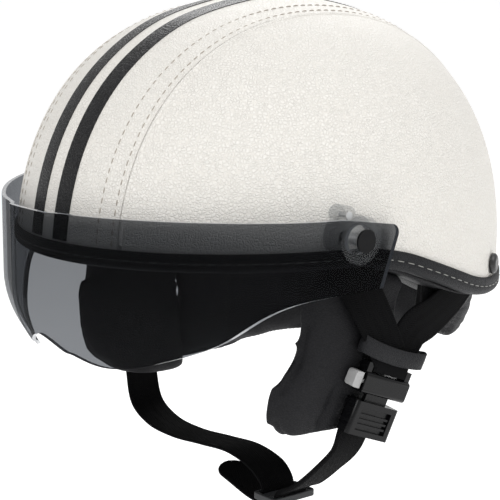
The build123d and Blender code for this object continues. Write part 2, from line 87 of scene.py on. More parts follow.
class Shader:
    """A material with short calls for its nodes."""

    def __init__(self, name):
        self.material = bpy.data.materials.new(name)
        self.material.use_nodes = True
        self.tree = self.material.node_tree
        self.tree.nodes.clear()
        self.out = self.node("ShaderNodeOutputMaterial")

    def node(self, kind, **props):
        made = self.tree.nodes.new(kind)
        for key, value in props.items():
            setattr(made, key, value)
        return made

    def feed(self, node, socket, value):
        """Link a socket to another node's output, or set its number."""
        if isinstance(value, bpy.types.NodeSocket):
            self.tree.links.new(value, node.inputs[socket])
        else:
            node.inputs[socket].default_value = value

    def math(self, operation, *values, clamp=False):
        made = self.node("ShaderNodeMath", operation=operation, use_clamp=clamp)
        for index, value in enumerate(values):
            self.feed(made, index, value)
        return made.outputs[0]

    def place(self):
        return self.node("ShaderNodeTexCoord").outputs["Object"]

    def scaled(self, vector, factors):
        made = self.node("ShaderNodeVectorMath", operation="MULTIPLY")
        self.feed(made, 0, vector)
        made.inputs[1].default_value = factors
        return made.outputs[0]

    def noise(self, vector, scale, detail=2.0, rough=0.5):
        made = self.node("ShaderNodeTexNoise")
        self.feed(made, "Vector", vector)
        made.inputs["Scale"].default_value = scale
        made.inputs["Detail"].default_value = detail
        made.inputs["Roughness"].default_value = rough
        return made

    def warped(self, vector, scale, amount):
        """The same coordinates, pushed about a little by noise."""
        cloud = self.noise(vector, scale, 1.0)
        shift = self.node("ShaderNodeVectorMath", operation="SUBTRACT")
        self.feed(shift, 0, cloud.outputs["Color"])
        shift.inputs[1].default_value = (0.5, 0.5, 0.5)
        add = self.node("ShaderNodeVectorMath", operation="MULTIPLY_ADD")
        self.feed(add, 0, shift.outputs[0])
        add.inputs[1].default_value = (amount, amount, amount)
        self.feed(add, 2, vector)
        return add.outputs[0]

    def cells(self, vector, scale, feature="DISTANCE_TO_EDGE"):
        made = self.node("ShaderNodeTexVoronoi", feature=feature)
        self.feed(made, "Vector", vector)
        made.inputs["Scale"].default_value = scale
        return made.outputs["Distance"]

    def remap(self, value, low, high, to_low=0.0, to_high=1.0, smooth=True):
        kind = "SMOOTHSTEP" if smooth else "LINEAR"
        made = self.node("ShaderNodeMapRange", interpolation_type=kind)
        self.feed(made, 0, value)
        for index, number in enumerate((low, high, to_low, to_high)):
            made.inputs[index + 1].default_value = number
        return made.outputs[0]

    def blend(self, factor, a, b):
        made = self.node("ShaderNodeMix", data_type="RGBA")
        self.feed(made, 0, factor)
        self.feed(made, 6, a if isinstance(a, bpy.types.NodeSocket) else (*a, 1.0))
        self.feed(made, 7, b if isinstance(b, bpy.types.NodeSocket) else (*b, 1.0))
        return made.outputs[2]

    def bump(self, height, depth_mm, strength=1.0):
        made = self.node("ShaderNodeBump")
        self.feed(made, "Height", height)
        made.inputs["Distance"].default_value = depth_mm * M
        made.inputs["Strength"].default_value = strength
        return made.outputs[0]

    def principled(self, **sockets):
        made = self.node("ShaderNodeBsdfPrincipled")
        for key, value in sockets.items():
            name = key.replace("_", " ")
            if isinstance(value, tuple) and len(value) == 3:
                value = (*value, 1.0)
            self.feed(made, name, value)
        return made.outputs[0]

    def finish(self, surface):
        self.feed(self.out, "Surface", surface)
        return self.material


# ------------------------------------------------------------------ materials


def pebbled(s, where, cell_mm, sharp):
    """Height of rounded leather pebbles, cell_mm across, with narrow creases."""
    big = s.cells(s.warped(where, 350.0, 0.0012), 1 / (cell_mm * M))
    small = s.cells(where, 2.3 / (cell_mm * M))
    domes = s.remap(big, 0.0, sharp)
    fine = s.remap(small, 0.0, 0.3)
    return s.math("ADD", domes, s.math("MULTIPLY", fine, 0.28))


def leather(name, light, dark, cell_mm, depth_mm, rough, **more):
    """Grained leather: painted shade darkens the creases of the grain, and the tone changes slowly at random.
    """
    s = Shader(name)
    where = s.place()
    grain = pebbled(s, where, cell_mm, 0.22)
    cloud = s.noise(where, 38.0, 3.0, 0.6).outputs["Fac"]
    # Painted shade: the grain's creases get the darker colour; the slow cloud is the leather's own random
    # tone.
    crease_shade_and_tone = s.math("MULTIPLY", s.remap(grain, 0.0, 0.9, 0.3, 1.0), s.remap(cloud, 0.25, 0.75, 0.78, 1.0))
    colour = s.blend(crease_shade_and_tone, dark, light)
    roughness = s.remap(grain, 0.0, 1.1, rough + 0.12, rough, smooth=False)
    normal = s.bump(grain, depth_mm)
    return s.finish(s.principled(Base_Color=colour, Roughness=roughness, Normal=normal, **more))


def webbing(name, colour, glint):
    """Flat woven polyester: ribs in a chevron, read from the strap's own run and width, with painted
    highlights on the ribs and painted shade between them.
    """
    s = Shader(name)
    spot = s.node("ShaderNodeAttribute", attribute_name="weave")
    axes = s.node("ShaderNodeSeparateXYZ")
    s.feed(axes, 0, spot.outputs["Vector"])
    run, across = axes.outputs[0], axes.outputs[1]
    fold = s.math("PINGPONG", across, 2.4)
    twill = s.math("SINE", s.math("MULTIPLY", s.math("ADD", run, fold), 2 * math.pi / 1.15))
    warp = s.math("SINE", s.math("MULTIPLY", across, 2 * math.pi / 0.6))
    both = s.math("ADD", twill, s.math("MULTIPLY", warp, 0.35))
    height = s.remap(both, -1.35, 1.35, 0.0, 1.0)
    fuzz = s.noise(s.place(), 1500.0, 2.0).outputs["Fac"]
    height = s.math("ADD", height, s.math("MULTIPLY", fuzz, 0.3))
    # Painted highlight and shade: raised ribs take the glint colour, the grooves 0.35 of the webbing's
    # colour.
    shade = s.blend(height, tuple(c * 0.35 for c in colour), glint)
    normal = s.bump(height, 0.28)
    return s.finish(s.principled(Base_Color=shade, Roughness=0.78, Normal=normal,
                               Specular_IOR_Level=0.06))


def moulded(name, colour, rough, spark_mm=0.5, depth_mm=0.03, **more):
    """Moulded plastic with a fine spark-eroded surface and faint handling marks."""
    s = Shader(name)
    where = s.place()
    grit = s.noise(where, 1 / (spark_mm * M), 2.0).outputs["Fac"]
    rubs = s.noise(s.scaled(where, (1.0, 1.0, 5.0)), 120.0, 3.0).outputs["Fac"]
    roughness = s.remap(rubs, 0.3, 0.7, rough - 0.06, rough + 0.08)
    shade = s.blend(rubs, tuple(c * 0.8 for c in colour), tuple(min(1.0, c * 1.15) for c in colour))
    normal = s.bump(grit, depth_mm)
    return s.finish(s.principled(Base_Color=shade, Roughness=roughness, Normal=normal, **more))


def metal(name, colour, rough):
    s = Shader(name)
    where = s.place()
    grain = s.noise(s.scaled(where, (1.0, 1.0, 14.0)), 500.0, 2.0).outputs["Fac"]
    roughness = s.remap(grain, 0.3, 0.7, rough, rough + 0.15)
    normal = s.bump(grain, 0.01)
    return s.finish(s.principled(Base_Color=colour, Metallic=1.0, Roughness=roughness, Normal=normal))


def cloth(name, colour, pitch_mm):
    """Brushed knitted lining."""
    s = Shader(name)
    where = s.place()
    loops = s.cells(where, 1 / (pitch_mm * M), "F1")
    nap = s.noise(where, 900.0, 3.0).outputs["Fac"]
    height = s.math("ADD", s.math("MULTIPLY", loops, -1.0), nap)
    shade = s.blend(nap, tuple(c * 0.6 for c in colour), tuple(c * 1.5 for c in colour))
    normal = s.bump(height, 0.25)
    return s.finish(s.principled(Base_Color=shade, Roughness=0.9, Normal=normal, Sheen_Weight=0.3))


def see_through(name, tint, rough, gloss, smear=0.0):
    """Hard clear sheet: each face passes tint and reflects more at grazing angles, alike from both sides."""
    s = Shader(name)
    where = s.place()
    haze = s.noise(s.scaled(where, (1.0, 1.0, 2.5)), 60.0, 3.0, 0.6).outputs["Fac"]
    wave = s.bump(s.noise(where, 22.0, 1.0).outputs["Fac"], 0.05)
    pass_on = s.node("ShaderNodeBsdfTransparent")
    low = tuple(c * (1 - smear) for c in tint)
    s.feed(pass_on, "Color", s.blend(haze, low, tint))
    skin = s.principled(
        Base_Color=gloss,
        Roughness=s.remap(haze, 0.3, 0.7, rough, rough + 0.04),
        Normal=wave,
    )
    facing = s.node("ShaderNodeLayerWeight").outputs["Facing"]
    grazing = s.math("MULTIPLY", s.math("POWER", facing, 5.0), 0.3)
    mix = s.node("ShaderNodeMixShader")
    s.feed(mix, 0, s.math("ADD", grazing, 0.045, clamp=True))
    s.feed(mix, 1, pass_on.outputs[0])
    s.feed(mix, 2, skin)
    return s.finish(mix.outputs[0])


def thread(name, colour):
    s = Shader(name)
    twist = s.noise(s.place(), 2500.0, 2.0).outputs["Fac"]
    shade = s.blend(twist, tuple(c * 0.6 for c in colour), colour)
    normal = s.bump(twist, 0.08)
    return s.finish(s.principled(Base_Color=shade, Roughness=0.65, Normal=normal, Sheen_Weight=0.2))


# Each leather's second, darker colour is the painted shade in its grain's creases.
WHITE = leather("white_leather", (0.76, 0.74, 0.70), (0.70, 0.67, 0.62), 1.5, 0.22, 0.42,
                Specular_IOR_Level=0.42)
PATENT = leather("patent_stripe", (0.003, 0.003, 0.004), (0.0015, 0.0015, 0.0015), 1.5, 0.16, 0.18,
                 Specular_IOR_Level=0.26)
BLACK = leather("black_leatherette", (0.015, 0.0155, 0.0175), (0.007, 0.007, 0.008), 1.0, 0.12, 0.5,
                Specular_IOR_Level=0.16)
SOFT = leather("soft_leatherette", (0.012, 0.012, 0.0135), (0.006, 0.006, 0.007), 1.2, 0.10, 0.5,
               Specular_IOR_Level=0.14)
# The black webbing's second colour is the painted highlight on its ribs.
WEB = webbing("black_webbing", (0.0015, 0.0015, 0.0018), (0.0045, 0.0045, 0.005))
PLASTIC = moulded("satin_black", (0.0025, 0.0025, 0.003), 0.24, Specular_IOR_Level=0.22)
MATT = moulded("matt_black", (0.003, 0.003, 0.0035), 0.5, Specular_IOR_Level=0.15)
GREY = moulded("light_grey_plastic", (0.36, 0.36, 0.36), 0.34)
SLIDER = moulded("dark_grey_plastic", (0.03, 0.031, 0.033), 0.5, Specular_IOR_Level=0.3)
ABS = moulded("shell_plastic", (0.02, 0.02, 0.022), 0.45, 1.2, 0.05)
BEAD = moulded("bead_foam", (0.018, 0.018, 0.02), 0.8, 3.0, 0.4)
STEEL = metal("zinc_steel", (0.62, 0.62, 0.62), 0.28)
LACQUER = moulded("black_lacquer", (0.018, 0.018, 0.019), 0.3)
LINING = cloth("brushed_lining", (0.018, 0.018, 0.02), 1.3)
SMOKE = see_through("smoked_lens", (0.445, 0.455, 0.47), 0.03, (0.03, 0.031, 0.033), 0.04)
# Painted highlight: the lens's cut edges are an opaque light grey, standing in for the light they catch.
LENS_EDGE_HIGHLIGHT = moulded("lens_edge_painted_highlight", (0.26, 0.27, 0.29), 0.18, Coat_Weight=0.5)
CLEAR = see_through("clear_plastic", (0.92, 0.925, 0.93), 0.05, (0.35, 0.36, 0.37), 0.05)
TAUPE = thread("taupe_thread", (0.44, 0.39, 0.33))
PALE = thread("pale_thread", (0.30, 0.30, 0.28))
DARK_THREAD = thread("black_thread", (0.03, 0.03, 0.032))


# ------------------------------------------------------------------ mesh helpers


def piece(name, points, faces, material, body, slot, replaces=()):
    """A mesh from points in millimetres, riding on a CAD body unless body is None."""
    mesh = bpy.data.meshes.new(name)
    mesh.from_pydata((np.asarray(points, float) * M).tolist(), [], faces)
    mesh.validate()
    mesh.polygons.foreach_set("use_smooth", [True] * len(mesh.polygons))
    mesh.materials.append(material)
    made = bpy.data.objects.new(name, mesh)
    bpy.context.scene.collection.objects.link(made)
    if body:
        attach(made, body)
    if replaces:
        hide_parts(*replaces)
    return made


def skin(rings, closed_path, closed_ring=True, caps=True):
    """Points and faces of a tube of rings, given as an array (along, around, 3)."""
    count, around = rings.shape[:2]
    faces = []
    for i in range(count if closed_path else count - 1):
        j = (i + 1) % count
        for a in range(around if closed_ring else around - 1):
            b = (a + 1) % around
            faces.append((i * around + a, i * around + b, j * around + b, j * around + a))
    if not closed_path and caps:
        faces.append(tuple(range(around))[::-1])
        faces.append(tuple((count - 1) * around + a for a in range(around)))
    return rings.reshape(-1, 3), faces


def curve_through(points, step=1.2):
    """Smooth centripetal curve through points, sampled about step apart, with each sample's place."""
    points = np.asarray(points, float)
    padded = np.vstack([2 * points[0] - points[1], points, 2 * points[-1] - points[-2]])
    out, at = [], []
    for i in range(1, len(padded) - 2):
        p0, p1, p2, p3 = padded[i - 1 : i + 3]
        t0 = 0.0
        t1 = t0 + math.sqrt(np.linalg.norm(p1 - p0))
        t2 = t1 + math.sqrt(np.linalg.norm(p2 - p1))
        t3 = t2 + math.sqrt(np.linalg.norm(p3 - p2))
        count = max(2, int(np.linalg.norm(p2 - p1) / step))
        for k in range(count):
            t = t1 + (t2 - t1) * k / count
            a1 = (t1 - t) / (t1 - t0) * p0 + (t - t0) / (t1 - t0) * p1
            a2 = (t2 - t) / (t2 - t1) * p1 + (t - t1) / (t2 - t1) * p2
            a3 = (t3 - t) / (t3 - t2) * p2 + (t - t2) / (t3 - t2) * p3
            b1 = (t2 - t) / (t2 - t0) * a1 + (t - t0) / (t2 - t0) * a2
            b2 = (t3 - t) / (t3 - t1) * a2 + (t - t1) / (t3 - t1) * a3
            out.append((t2 - t) / (t2 - t1) * b1 + (t - t1) / (t2 - t1) * b2)
            at.append(i - 1 + k / count)
    out.append(points[-1])
    at.append(len(points) - 1)
    return np.array(out), np.array(at)


def lerp_rows(rows, at):
    rows = np.asarray(rows, float)
    low = np.minimum(np.floor(at).astype(int), len(rows) - 2)
    share = (at - low)[:, None]
    return rows[low] * (1 - share) + rows[low + 1] * share


def ribbon(name, route, normals, width, thickness, body, replaces=(), round_end=False):
    """Webbing of real thickness along a smooth curve, with rounded selvedges."""
    path, at = curve_through(route)
    along = unit(np.gradient(path, axis=0))
    out = lerp_rows(unit(normals), at)
    out = unit(out - along * np.sum(out * along, axis=1, keepdims=True))
    across = np.cross(along, out)
    half, rise = width / 2, thickness / 2
    profile = [(-half, 0), (-half + 0.25, 0.7 * rise), (-half + 1.0, 1.05 * rise), (-half + 1.9, 0.86 * rise)]
    inner = [(x, 0.9 * rise) for x in np.linspace(-half + 3.2, half - 3.2, 6)]
    top = profile + inner + [(-x, z) for x, z in profile[::-1]]
    loop = np.array(top + [(x, -z) for x, z in top[-2:0:-1]])
    run = np.concatenate([[0], np.cumsum(np.linalg.norm(np.diff(path, axis=0), axis=1))])
    narrow = np.ones(len(path))
    if round_end:
        left = np.clip((run[-1] - run) / (width * 0.45), 0, 1)
        narrow = np.maximum(np.sqrt(1 - (1 - left) ** 2), 0.12)
    rings = path[:, None, :] + across[:, None, :] * (loop[None, :, 0:1] * narrow[:, None, None])
    rings = rings + out[:, None, :] * loop[None, :, 1:2]
    made = piece(name, *skin(rings, False), WEB, body, "webbing", replaces)
    weave = np.zeros((len(path), len(loop), 3))
    weave[:, :, 0] = run[:, None]
    weave[:, :, 1] = loop[None, :, 0] + half
    weave[:, :, 2] = loop[None, :, 1]
    layer = made.data.attributes.new("weave", "FLOAT_VECTOR", "POINT")
    layer.data.foreach_set("vector", weave.astype(np.float32).ravel())
    return made


def spaced(path, period, start=0.0):
    """Places along a path every period: points, and the path's directions there."""
    path = np.asarray(path, float)
    run = np.concatenate([[0], np.cumsum(np.linalg.norm(np.diff(path, axis=0), axis=1))])
    wanted = np.arange(start + period / 2, run[-1], period)
    at = np.interp(wanted, run, np.arange(len(path)))
    return lerp_rows(path, at), at


def stitches(name, path, outward, period, length, radius, material, body, slot, sink=0.25, start=0.0):
    """One row of sewn stitches: each a short thread whose ends dip into the surface."""
    spots, at = spaced(path, period, start)
    along = unit(lerp_rows(unit(np.gradient(np.asarray(path, float), axis=0)), at))
    out = unit(lerp_rows(outward, at))
    side = np.cross(along, out)
    share = np.linspace(-1, 1, 7)
    fat = np.sqrt(np.maximum(0.0, 1 - share**4)) * radius + 0.02
    arch = (1 - share**2) * radius * 1.2 - sink
    turn = np.linspace(0, 2 * np.pi, 7)[:-1]
    points, faces = [], []
    for spot, a, o, s in zip(spots, along, out, side):
        rings = np.array(
            [
                [
                    spot + a * (t * length / 2) + o * (h + f * math.cos(c)) + s * (f * math.sin(c))
                    for c in turn
                ]
                for t, f, h in zip(share, fat, arch)
            ]
        )
        verts, quads = skin(rings, False)
        base = len(points)
        points.extend(verts.tolist())
        faces.extend(tuple(base + v for v in quad) for quad in quads)
    return piece(name, points, faces, material, body, slot)


# ------------------------------------------------------------------ dome and rim


def dome_value(x, y, z, depth):
    """Zero on the dome's surface at depth, positive outside."""
    plan = (x / (HALF_WIDTH - depth)) ** 2 + ((y - CENTRE_Y) / (HALF_LENGTH - depth)) ** 2
    rise = np.maximum(z, 0) / (HEIGHT - depth)
    return plan ** (FULLNESS / 2) + rise**FULLNESS - 1


def dome_normal(points):
    """Directions out of the dome at points on or near it."""
    p = np.asarray(points, float)
    plan = (p[..., 0] / HALF_WIDTH) ** 2 + ((p[..., 1] - CENTRE_Y) / HALF_LENGTH) ** 2
    girth = np.maximum(plan, 1e-9) ** (FULLNESS / 2 - 1)
    rise = (np.maximum(p[..., 2], 0) / HEIGHT) ** (FULLNESS - 1) / HEIGHT
    x = girth * p[..., 0] / HALF_WIDTH**2
    y = girth * (p[..., 1] - CENTRE_Y) / HALF_LENGTH**2
    return unit(np.stack([x, y, rise], axis=-1))


def dome_point(origin, direction, depth):
    """Where a ray from inside leaves the dome at depth."""
    low, high = 0.0, 300.0
    for _ in range(40):
        middle = (low + high) / 2
        p = origin + direction * middle
        if dome_value(p[0], p[1], p[2], depth) > 0:
            high = middle
        else:
            low = middle
    return origin + direction * low


def rim_z(y):
    """Height of the trim's top edge along the helmet."""
    slope = math.atan2(RIM_FRONT - RIM_REAR, RIM_BEND_REAR - RIM_BEND_FRONT)
    tangent = RIM_RADIUS * math.tan(slope / 2)
    y = np.asarray(y, float)
    straight = RIM_FRONT - (y - RIM_BEND_FRONT) * math.tan(slope)
    start, stop = RIM_BEND_FRONT - tangent, RIM_BEND_FRONT + tangent * math.cos(slope)
    first = RIM_FRONT - RIM_RADIUS + np.sqrt(np.maximum(RIM_RADIUS**2 - (y - start) ** 2, 0))
    low, last = RIM_BEND_REAR - tangent * math.cos(slope), RIM_BEND_REAR + tangent
    second = RIM_REAR + RIM_RADIUS - np.sqrt(np.maximum(RIM_RADIUS**2 - (y - last) ** 2, 0))
    height = np.where(y < start, RIM_FRONT, np.where(y < stop, first, straight))
    return np.where(y > last, RIM_REAR, np.where(y > low, second, height))


def rim_frame(count=360):
    """Round the rim: points on the leather's outside, outward and downward directions, and angles."""
    angle = np.linspace(0, 2 * np.pi, count, endpoint=False)
    x, y = np.sin(angle) * HALF_WIDTH, CENTRE_Y - np.cos(angle) * HALF_LENGTH
    z = rim_z(y)
    shrink = (1 - (np.maximum(z, 0) / HEIGHT) ** FULLNESS) ** (1 / FULLNESS)
    points = np.stack([x * shrink, CENTRE_Y + (y - CENTRE_Y) * shrink, z], axis=1)
    out = unit(np.stack([x / HALF_WIDTH**2, (y - CENTRE_Y) / HALF_LENGTH**2, 0 * x], axis=1))
    slope = (rim_z(y + 0.5) - rim_z(y - 0.5)) / 1.0
    down = unit(np.stack([0 * x, slope, -np.ones_like(x)], axis=1))
    return points, out, down, angle


def rim_sweep(name, profile, material, slot, replaces, ripple=None):
    """Closed band round the rim from a profile of (drop below the rim line, depth inside the leather)."""
    points, out, down, angle = rim_frame()
    loop = np.array(profile, float)
    rings = points[:, None, :] + down[:, None, :] * loop[None, :, 0:1] - out[:, None, :] * loop[None, :, 1:2]
    if ripple is not None:
        rings = rings + ripple(angle, loop, out, down)
    return piece(name, *skin(rings, True), material, "helmet", slot, replaces)


def meridian(x, depth, steps=110):
    """Line over the dome at a fixed distance from the middle, from the front trim to the rear trim."""
    line = []
    for angle in np.linspace(0, math.pi, steps):
        direction = np.array((0.0, -math.cos(angle), math.sin(angle)))
        line.append(dome_point(np.array((x, CENTRE_Y, 0.0)), direction, depth))
    line = np.array(line)
    keep = line[line[:, 2] > rim_z(line[:, 1]) - 0.8]
    rear = keep[-1]
    drop = [rear + np.array((0, 0, -h)) for h in np.arange(1.5, rear[2] - RIM_REAR, 1.5)]
    return np.vstack([keep] + ([np.array(drop)] if drop else []))


# ------------------------------------------------------------------ leather cover


def dress(names, material):
    for name in names:
        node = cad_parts[name]
        node.data.materials.clear()
        node.data.materials.append(material)


dress(("outer_shell",), ABS)
dress(("foam_liner",), BEAD)
dress(("leather_centre", "leather_left", "leather_right"), WHITE)
dress(("racing_stripe_left", "racing_stripe_right"), PATENT)
dress(("pivot_base_left", "pivot_base_right", "pivot_ring_left", "pivot_ring_right"), CLEAR)
dress(("pivot_cap_left", "pivot_cap_right"), MATT)
dress(("lug_screws", "pivot_bolts", "pivot_nuts", "rivet_washers", "lock_bar", "button_spring"), STEEL)
dress(("strap_spacers",), MATT)
dress(("rear_rivets",), LACQUER)
dress(("buckle_housing", "buckle_tongue"), PLASTIC)
dress(("strap_slider",), SLIDER)
dress(("release_button",), GREY)

BUCKLE_PARTS = ("buckle_housing", "release_button", "strap_slider", "buckle_tongue")
for name in BUCKLE_PARTS:
    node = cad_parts[name]
    weld = node.modifiers.new("Weld", "WELD")
    weld.merge_threshold = 0.01 * M
    soften = node.modifiers.new("Bevel", "BEVEL")
    soften.width = 0.6 * M
    soften.segments = 3
    soften.angle_limit = math.radians(35)
    soften.harden_normals = True

SEAM_X = 40.0
for side, label in ((1, "left"), (-1, "right")):
    ridge = meridian(side * (SEAM_X + 1.0), 0.0)
    lift = dome_normal(ridge)
    sideways = np.tile((side * 1.0, 0, 0), (len(ridge), 1))
    sideways = unit(sideways - lift * np.sum(sideways * lift, axis=1, keepdims=True))
    bow = [(-0.75, -0.3), (-0.7, 0.25), (-0.35, 0.5), (0.1, 0.5), (0.6, 0.28), (1.2, 0.02), (1.4, -0.3)]
    rings = np.stack([ridge + sideways * a + lift * b for a, b in bow], axis=1)
    piece(f"seam_fold_{label}", *skin(rings, False), WHITE, "helmet", "white_leather")
    for row, inset in (("outer", 2.6), ("inner", 9.6)):
        line = meridian(side * (SEAM_X - inset), 0.0, 220)
        stitches(f"seam_{row}_{label}", line, dome_normal(line), 4.4, 3.3, 0.24, TAUPE,
                 "helmet", "white_leather")

# ------------------------------------------------------------------ edge trim and brow band

TRIM_LOOP = [
    (0.30, -0.25), (0.0, -0.8), (0.25, -1.4), (0.9, -1.75), (2.2, -1.9), (3.5, -1.85), (4.3, -1.5),
    (5.1, -1.85), (6.3, -1.75), (7.5, -1.1), (8.3, 0.0), (8.6, 1.4), (8.6, 2.8), (8.2, 4.2), (7.3, 5.3),
    (6.0, 5.8), (2.0, 5.8), (0.6, 5.6), (0.1, 5.1), (0.4, 4.6), (3.0, 4.42), (6.15, 4.4),
    (6.15, -0.1), (3.0, -0.2),
]
rim_sweep("edge_trim_roll", TRIM_LOOP, BLACK, "black_leather", ("edge_trim",))
rim_points, rim_out, rim_down, rim_angle = rim_frame(720)
seam_line = rim_points + rim_down * 4.3 + rim_out * 1.72
seam_line = np.vstack([seam_line, seam_line[:1]])
stitches("trim_stitches", seam_line, np.vstack([rim_out, rim_out[:1]]), 6.3, 4.2, 0.21, PALE, "helmet",
         "black_leather", 0.08)

BAND_LOOP = [
    (7.6, 6.9), (8.6, 6.5), (9.6, 6.9), (10.1, 8.5), (10.3, 11.0), (10.25, 14.0), (9.9, 15.2), (9.6, 15.6),
    (9.9, 16.0), (10.25, 17.3), (10.3, 21.0), (10.2, 25.0), (9.6, 27.6), (8.6, 28.2), (7.7, 27.6),
    (7.4, 25.0), (7.4, 12.0),
]
rim_sweep("brow_band_pad", BAND_LOOP, SOFT, "black_leather", ("brow_band",))

# ------------------------------------------------------------------ comfort liner

LINER_RINGS = 34
LINER_STEPS = 120
LINER_OUT = 24.5
LINER_IN = 28.2


def liner_surface(depth_at):
    """Grid on the dome from the crown to the rim, at a depth that depends on angle and share."""
    grid = np.zeros((LINER_STEPS, LINER_RINGS, 3))
    for i in range(LINER_STEPS):
        angle = 2 * math.pi * i / LINER_STEPS
        y = CENTRE_Y - math.cos(angle) * (HALF_LENGTH - LINER_IN)
        foot = float(rim_z(y)) - 7.0
        for j in range(LINER_RINGS):
            share = (j + 0.5) / (LINER_RINGS - 0.5)
            depth = depth_at(angle, share)
            low = math.asin(max(min(foot / (HEIGHT - depth), 0.99), 0.0) ** (FULLNESS / 2))
            lift = math.pi / 2 - (math.pi / 2 - low) * share
            plan = math.cos(lift) ** (2 / FULLNESS)
            z = (HEIGHT - depth) * math.sin(lift) ** (2 / FULLNESS)
            if foot < 0:
                z = z + foot * max(0.0, share - 0.8) / 0.2
            grid[i, j] = (
                math.sin(angle) * (HALF_WIDTH - depth) * plan,
                CENTRE_Y - math.cos(angle) * (HALF_LENGTH - depth) * plan,
                z,
            )
    return grid


def quilted(angle, share):
    """Depth of the lining's face: padded panels between sewn channels."""
    panel = abs(math.sin(angle * 3))
    ring = abs(math.sin(math.pi * (share * 2.6 + 0.15)))
    puff = min(1.0, panel * 3.2) * min(1.0, ring * 3.0 + 0.15)
    return LINER_IN - 2.4 + 2.4 * puff ** 0.6


inner = liner_surface(quilted)
outer = liner_surface(lambda angle, share: LINER_OUT)
shell = np.concatenate([inner, outer[:, ::-1]], axis=1)
points, faces = skin(shell, True, closed_ring=False)
cap_at = len(points)
last = LINER_RINGS * 2 - 1
crown = [(0, CENTRE_Y, HEIGHT - LINER_IN), (0, CENTRE_Y, HEIGHT - LINER_OUT)]
width = LINER_RINGS * 2
for i in range(LINER_STEPS):
    j = (i + 1) % LINER_STEPS
    faces.append((cap_at, i * width, j * width))
    faces.append((cap_at + 1, j * width + last, i * width + last))
piece("comfort_lining", np.vstack([points, crown]), faces, LINING, "helmet", "lining", ("comfort_liner",))

# ------------------------------------------------------------------ visor


CUT_ANGLE = math.radians(32)


def visor_piece():
    """The lens's own mesh, with its cut edges told apart from its faces and given the light grey painted
    highlight.
    """
    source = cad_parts["visor"]
    bm = bmesh.new()
    bm.from_mesh(source.data)
    bmesh.ops.remove_doubles(bm, verts=bm.verts, dist=1e-6)
    bm.faces.ensure_lookup_table()
    region = [-1] * len(bm.faces)
    areas = []
    for start in bm.faces:
        if region[start.index] >= 0:
            continue
        number, area, stack = len(areas), 0.0, [start]
        region[start.index] = number
        while stack:
            face = stack.pop()
            area += face.calc_area()
            for edge in face.edges:
                if len(edge.link_faces) != 2 or edge.calc_face_angle(3.0) > CUT_ANGLE:
                    continue
                for other in edge.link_faces:
                    if region[other.index] < 0:
                        region[other.index] = number
                        stack.append(other)
        areas.append(area)
    faces_kept = sorted(range(len(areas)), key=lambda n: -areas[n])[:2]
    for face in bm.faces:
        face.smooth = True
        face.material_index = 0 if region[face.index] in faces_kept else 1
    for edge in bm.edges:
        edge.smooth = len(edge.link_faces) == 2 and edge.calc_face_angle(3.0) < CUT_ANGLE
    mesh = bpy.data.meshes.new("visor_lens")
    bm.to_mesh(mesh)
    bm.free()
    mesh.materials.append(SMOKE)
    mesh.materials.append(LENS_EDGE_HIGHLIGHT)
    made = bpy.data.objects.new("visor_lens", mesh)
    bpy.context.scene.collection.objects.link(made)
    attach(made, "visor")
    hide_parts("visor")
    return made


visor_piece()

# ------------------------------------------------------------------ straps


def buckle_point(u, v, w):
    out = np.cross(BUCKLE_DOWN, BUCKLE_REAR)
    out = unit(out)
    up = np.cross(out, unit(BUCKLE_REAR))
    return BUCKLE_AT + unit(BUCKLE_REAR) * u + up * v + out * w


def dome_side(y, z, depth):
    """Point of the left side of the dome at depth, at a place along and up."""
    rise = (max(z, 0) / (HEIGHT - depth)) ** FULLNESS
    plan = (1 - rise) ** (2 / FULLNESS) - ((y - CENTRE_Y) / (HALF_LENGTH - depth)) ** 2
    return np.array(((HALF_WIDTH - depth) * math.sqrt(plan), y, z))


def flipped(route, side):
    return [np.array((side * p[0], p[1], p[2])) for p in route]


WEB_WIDTH = 20.0
WEB_THICKNESS = 1.5
FRONT_LEG = ((-38.2, 29.7), (-34.0, 21.7), (-29.5, 13.0), (-24.8, 4.0))
front_route = [dome_side(y, z, STRAP_DEPTH) for y, z in FRONT_LEG]
front_out = [dome_normal(p) for p in front_route] + [(1, -0.08, 0), (1, 0, 0), (1, 0, 0)]
front_route += [np.array((95.0, -18.5, -8.0)), np.array((96.2, -11.5, -21.5)), buckle_point(-3, 13, 1.8)]
rear_route, rear_out = [], []
for y in (81.5, 73.0, 62.0, 50.0, 37.0, 24.0):
    z = RIVET_Z + (y - RIVET_Y) * 0.366
    rear_route.append(dome_side(y, z, STRAP_DEPTH + (81.5 - y) / 60))
    rear_out.append(dome_normal(rear_route[-1]))
rear_route += [np.array((94.9, 12.0, -27.0)), buckle_point(4, 13.5, 0.0)]
rear_out += [(1, 0, 0), (1, 0, 0)]
for side, label in ((1, "left"), (-1, "right")):
    turned = [(side * n[0], n[1], n[2]) for n in front_out]
    route = flipped(front_route, side)
    ribbon(f"front_leg_{label}", route, turned, WEB_WIDTH, WEB_THICKNESS, "helmet", (f"front_strap_{label}",))
    turned = [(side * n[0], n[1], n[2]) for n in rear_out]
    route = flipped(rear_route, side)
    ribbon(f"rear_leg_{label}", route, turned, WEB_WIDTH, WEB_THICKNESS, "helmet", (f"rear_strap_{label}",))

